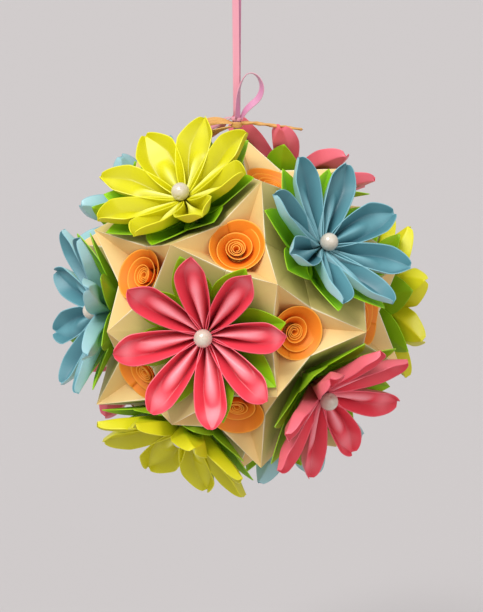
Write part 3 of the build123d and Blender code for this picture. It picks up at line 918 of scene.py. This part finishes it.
class PAPERBALL_OT_stage(bpy.types.Operator):
    """Makes the camera, the soft light, the floor and the finishes."""
    bl_idname = "paper_ball.stage"
    bl_label = "Stage"

    def execute(self, context):
        """Camera at the photograph's angle, three soft lamps, an even sky and a pale floor."""
        scene = context.scene
        colours = scene.paper_ball.colours
        distance, slide = 1.078, Vector((2.1, -0.64, 0)) * MM
        back = seen_from(0, 12.2)
        camera = aimed("camera", bpy.data.cameras.new("camera"), back)
        camera.data.lens = 139.4
        camera.data.clip_end = 100
        centre = Vector(Lengths(scene.paper_ball.sizes).centre)
        camera.location = centre + back * distance + camera.rotation_quaternion @ slide
        scene.camera = camera
        scene.view_settings.view_transform = "Standard"
        # Each lamp has its turn and height, its energy and how wide it is, in degrees
        for name, turn, height, energy, width in (("soft_key", -30, 48, 2.2, 34),
                                                  ("soft_fill", 25, 4, 0.75, 60),
                                                  ("small_glint", -15, 40, 0.4, 6)):
            lamp = aimed(name, bpy.data.lights.new(name, "SUN"), seen_from(turn, height))
            lamp.data.energy = energy
            lamp.data.angle = np.radians(width)
        scene.world = even_sky(colours.backdrop)
        pale_floor(colours.backdrop)
        finishes(colours)
        return {"FINISHED"}


class PAPERBALL_OT_hanging_ribbon(bpy.types.Operator):
    """Makes the doubled satin ribbon that the ball hangs from."""
    bl_idname = "paper_ball.hanging_ribbon"
    bl_label = "Hanging ribbon"

    def execute(self, context):
        """Flat strip that follows a smooth spline over the hook, its width across the loop."""
        sizes = context.scene.paper_ball.sizes
        turn, crown, blend = np.radians(14), 0.05 * MM, 0.3 * MM
        along = np.array((np.sin(turn), np.cos(turn), 0))
        across = np.array((np.cos(turn), -np.sin(turn), 0))
        # Each point has its reach along the loop and its height, in millimetres
        route = [(-0.4, -68), (-1.0, -50), (-2.05, -18), (-2.62, -3), (-2.72, 0.15), (0, 0.6),
                 (2.72, 0.15), (2.62, -3), (2.05, -18), (1.0, -50), (0.4, -68)]
        route = [(along * reach + UP * height) * MM for reach, height in route]
        curve = bpy.data.curves.new("ribbon_line", "CURVE")
        curve.dimensions = "3D"
        curve.resolution_u = 12
        spline = curve.splines.new("NURBS")
        spline.points.add(len(route) - 1)
        spline.points.foreach_set("co", np.hstack((route, np.ones((len(route), 1)))).ravel())
        spline.order_u = 3
        spline.use_endpoint_u = True
        guide = bpy.data.objects.new("ribbon_line", curve)
        read = bpy.data.meshes.new_from_object(guide)
        line = np.empty(len(read.vertices) * 3)
        read.vertices.foreach_get("co", line)
        line = line.reshape(-1, 3)
        bpy.data.objects.remove(guide)
        bpy.data.curves.remove(curve)
        bpy.data.meshes.remove(read)
        shape = strip_shape(line, np.tile(across, (len(line), 1)), sizes.ribbon_width, sizes.ribbon_sheet,
                            crown=crown)
        shape["back"] = ramp(shape["points"] @ along, -blend, blend)
        ribbon = piece("hanging_ribbon_satin", [shape], "satin_ribbon_weave",
                       ["hanging_ribbon"])
        return {"FINISHED"}


class PAPERBALL_OT_frame_units(bpy.types.Operator):
    """Makes the thirty folded cream units."""
    bl_idname = "paper_ball.frame_units"
    bl_label = "Folded units"

    def execute(self, context):
        """One unit at each corner, its pits turned to the nearest pit of the ball."""
        sizes = context.scene.paper_ball.sizes
        lengths = Lengths(sizes)
        all_pits = pits()
        for number, corner in enumerate(corners()):
            nearest = max(all_pits, key=corner.dot)
            ahead = unit(nearest - corner * nearest.dot(corner))
            axes = np.stack((ahead, np.cross(corner, ahead), corner))
            shape = unit_shape(lengths, sizes, number)
            shape["points"] = placed(shape["points"], (lengths.centre, axes))
            node = "top_frame_unit" if number == 0 else f"frame_unit_{number + 1:02d}"
            piece(node + "_paper", [shape], "cream_card", [node], merge=True)
        return {"FINISHED"}


def hue_of(flower):
    """Colour word that a flower's name starts with."""
    return flower.name.split("_")[0]


def flower_plane(lengths, flower):
    """Plane of a flower, at the bottom of its well."""
    return facing(lengths, towards(*flower.direction), lengths.well, flower.lean_up, flower.lean_side)


class PAPERBALL_OT_flowers(bpy.types.Operator):
    """Makes the twelve flowers of eight petals."""
    bl_idname = "paper_ball.flowers"
    bl_label = "Flowers"

    def execute(self, context):
        """Eight petals round each flower's axis, each a little different from the next."""
        sizes = context.scene.paper_ball.sizes
        lengths = Lengths(sizes)
        broad = {"pink": 1.02, "yellow": 1.38, "blue": 1.12}
        creased = {"pink": 0.1, "yellow": 0.8, "blue": 0.55}
        root_height = lengths.well_side(sizes.petal_start) + sizes.petal_root_lift
        tip_height = lengths.well_side(sizes.petal_reach) + sizes.petal_tip_lift
        for number, flower in enumerate(FLOWERS):
            hue = hue_of(flower)
            plane = flower_plane(lengths, flower)
            hand = np.random.default_rng(PETAL_SEED + number)
            petals = []
            for i in range(PETALS):
                shape = petal_shape(sizes, root_height, tip_height,
                                    widen=broad[hue] * hand.uniform(0.95, 1.05),
                                    lift=hand.uniform(-0.7, 0.7) * MM,
                                    roll=np.radians(hand.uniform(-7, 7)),
                                    skew=hand.uniform(-0.3, 0.3), sharp=creased[hue],
                                    shade=hand.uniform(-0.04, 0.04))
                angle = flower.turn + PETAL_SPACING * i + PETAL_STRAY[(i + number) % PETALS]
                shape["points"] = placed(shape["points"], plane, angle)
                petals.append(shape)
            piece(flower.name + "_petals", petals, hue + "_petal_paper", [flower.name])
        return {"FINISHED"}


class PAPERBALL_OT_leaves(bpy.types.Operator):
    """Makes the twelve collars of eight leaves."""
    bl_idname = "paper_ball.leaves"
    bl_label = "Leaf collars"

    def execute(self, context):
        """Eight leaves under each flower, turned a little from the petals."""
        sizes = context.scene.paper_ball.sizes
        lengths = Lengths(sizes)
        gap, turned_on = 0.8 * MM, 6
        broad = {"pink": 1.28, "yellow": 1.5, "blue": 1.3}
        root_height = lengths.well_side(sizes.petal_start) + gap
        root_wall = sizes.petal_root_lift - 2 * gap
        tip_height = lengths.well_side(sizes.leaf_reach) + sizes.leaf_tip_lift
        for number, flower in enumerate(FLOWERS):
            plane = flower_plane(lengths, flower)
            hand = np.random.default_rng(LEAF_SEED + number)
            leaves = []
            for i in range(PETALS):
                shape = leaf_shape(sizes, root_height, root_wall, tip_height,
                                   widen=broad[hue_of(flower)] * hand.uniform(0.94, 1.02),
                                   roll=np.radians(hand.uniform(-5, 5)), shade=hand.uniform(-0.07, 0.09))
                angle = flower.turn + turned_on + PETAL_SPACING * i
                shape["points"] = placed(shape["points"], plane, angle)
                leaves.append(shape)
            node = flower.name.replace("flower", "leaf_collar")
            piece(node + "_leaves", leaves, "green_leaf_paper", [node])
        return {"FINISHED"}


class PAPERBALL_OT_pearls(bpy.types.Operator):
    """Makes the pearl beads."""
    bl_idname = "paper_ball.pearls"
    bl_label = "Pearls"

    def execute(self, context):
        """One bead over the middle of each flower."""
        sizes = context.scene.paper_ball.sizes
        lengths = Lengths(sizes)
        beads = [pearl_shape(sizes, flower_plane(lengths, flower)) for flower in FLOWERS]
        piece("pearl_beads_glossy", beads, "pearl_bead", ["pearl_beads"], merge=True)
        return {"FINISHED"}


class PAPERBALL_OT_roses(bpy.types.Operator):
    """Makes the twenty rolled roses."""
    bl_idname = "paper_ball.roses"
    bl_label = "Roses"

    def execute(self, context):
        """One rolled strip in each three-sided pit, each turned on from the last."""
        sizes = context.scene.paper_ball.sizes
        lengths = Lengths(sizes)
        turned_on = 83
        roses = []
        for number, pit in enumerate(pits()):
            shape = rose_shape(lengths, sizes, number)
            plane = facing(lengths, pit, sizes.pit_radius)
            shape["points"] = placed(shape["points"], plane, turned_on * number)
            roses.append(shape)
        piece("paper_roses_rolled", roses, "orange_rose_paper", ["paper_roses"])
        return {"FINISHED"}


class PAPERBALL_OT_knot(bpy.types.Operator):
    """Makes the gathered knot on the top corner, its stem and the stopper knot inside."""
    bl_idname = "paper_ball.knot"
    bl_label = "Ribbon knot"

    def execute(self, context):
        """One turned and pleated body, through the hole in the top corner."""
        piece("ribbon_knot_satin", [knot_shape(context.scene.paper_ball.sizes)], "satin_ribbon_weave",
              ["ribbon_knot"], merge=True)
        return {"FINISHED"}


class PAPERBALL_OT_ribbon_bow(bpy.types.Operator):
    """Makes the satin bow with its two loops."""
    bl_idname = "paper_ball.ribbon_bow"
    bl_label = "Ribbon bow"

    def execute(self, context):
        """Two flat loops and the binding that holds them to the knot."""
        sizes = context.scene.paper_ball.sizes
        sheet_in_bow = sizes.ribbon_sheet * 0.8
        right = [(0.4, -2.2, 5.8, 60), (0.3, -3.2, 11.0, 40), (0.5, -3.7, 18.0, 20),
                 (2.7, -3.8, 24.6, 10), (5.8, -3.8, 27.2, 10), (9.6, -3.8, 25.4, 20),
                 (11.6, -3.7, 20.2, 40), (9.8, -3.5, 15.2, 60), (5.8, -3.2, 12.0, 60),
                 (3.0, -2.6, 8.8, 40), (2.0, -1.0, 6.0, 20)]
        left = [(2.1, -0.4, 6.1, 0), (5.5, -3.4, 5.8, 0), (8.5, -5.4, 3.4, 40), (13.0, -6.6, 1.0, 60),
                (19.0, -7.2, -1.6, 60), (23.2, -7.4, -4.0, 60), (23.6, -7.4, -6.8, 60),
                (19.0, -7.2, -5.8, 60), (13.0, -6.8, -2.4, 60), (8.5, -5.8, 0.8, 40),
                (5.5, -4.4, 5.0, 0), (2.1, -0.4, 5.5, 0)]
        shapes = [tie_shape(sizes, height=5 * MM, tall=1.6 * MM, pleats=5)]
        for route, heading in ((right, 0), (left, 165)):
            line, across = band_line(route, heading, sizes)
            shapes.append(strip_shape(line, across, sizes.ribbon_width, sheet_in_bow))
        piece("ribbon_bow_satin", shapes, "satin_ribbon_weave", ["ribbon_bow"])
        return {"FINISHED"}


class PAPERBALL_OT_raffia_bow(bpy.types.Operator):
    """Makes the raffia bow with its flattened loop and its straight tail."""
    bl_idname = "paper_ball.raffia_bow"
    bl_label = "Raffia bow"

    def execute(self, context):
        """A crinkled loop, a twisted tail, and the binding that holds them to the knot.

        The crinkles are two sines across the strip, which wander along it.
        """
        sizes = context.scene.paper_ball.sizes
        columns, sheet_thick, crown, crinkle = 15, 0.3 * MM, 0.3 * MM, 0.16 * MM
        loop = [(2.0, 0.3, 3.6, 0), (6.0, 0.4, 4.8, 25), (11.6, -2.2, 4.5, 60), (18.8, -3.0, 1.5, 65),
                (24.0, -3.0, -1.2, 65), (25.0, -3.0, -5.2, 65), (21.2, -3.0, -5.2, 65),
                (15.0, -2.6, -2.2, 60), (8.0, -0.8, 0.5, 25), (2.0, 0.3, 2.6, 0)]
        line, across = band_line(loop, 175, sizes, 12)
        place = np.linspace(-1, 1, columns)[None, :]
        way = np.linspace(0, 1, len(line))[:, None]
        ripple = crinkle * (np.sin(place * 9 + 3 * np.sin(way * 9)) + 0.6 * np.sin(place * 19 + way * 30))
        shapes = [strip_shape(line, across, sizes.raffia_width, sheet_thick, columns, crown, ripple),
                  tail_shape(sizes), tie_shape(sizes, height=1.9 * MM, tall=2.6 * MM, pleats=7)]
        piece("raffia_bow_fibres", shapes, "raffia_fibres", ["raffia_bow"], merge=True)
        return {"FINISHED"}


MAKERS = (PAPERBALL_OT_stage, PAPERBALL_OT_hanging_ribbon, PAPERBALL_OT_frame_units, PAPERBALL_OT_flowers,
          PAPERBALL_OT_leaves, PAPERBALL_OT_pearls, PAPERBALL_OT_roses, PAPERBALL_OT_knot,
          PAPERBALL_OT_ribbon_bow, PAPERBALL_OT_raffia_bow)


class PAPERBALL_PT_panel(bpy.types.Panel):
    """Lists the pieces of the paper ball."""
    bl_label = "Paper Ball"
    bl_idname = "PAPERBALL_PT_panel"
    bl_space_type = "VIEW_3D"
    bl_region_type = "UI"
    bl_category = "Paper Ball"

    def draw(self, context):
        """One button for each operator."""
        for maker in MAKERS:
            self.layout.operator(maker.bl_idname)


CLASSES = (PaperBallSizes, PaperBallColours, PaperBallSettings, *MAKERS, PAPERBALL_PT_panel)


def register():
    """Registers the classes and the settings on the scene."""
    for cls in CLASSES:
        bpy.utils.register_class(cls)
    bpy.types.Scene.paper_ball = PointerProperty(type=PaperBallSettings)


def unregister():
    """Takes the settings and the classes away again."""
    del bpy.types.Scene.paper_ball
    for cls in reversed(CLASSES):
        bpy.utils.unregister_class(cls)


def main():
    """Makes every piece in order."""
    register()
    for maker in MAKERS:
        getattr(bpy.ops.paper_ball, maker.bl_idname.split(".")[1])()


if __name__ == "__main__":
    main()
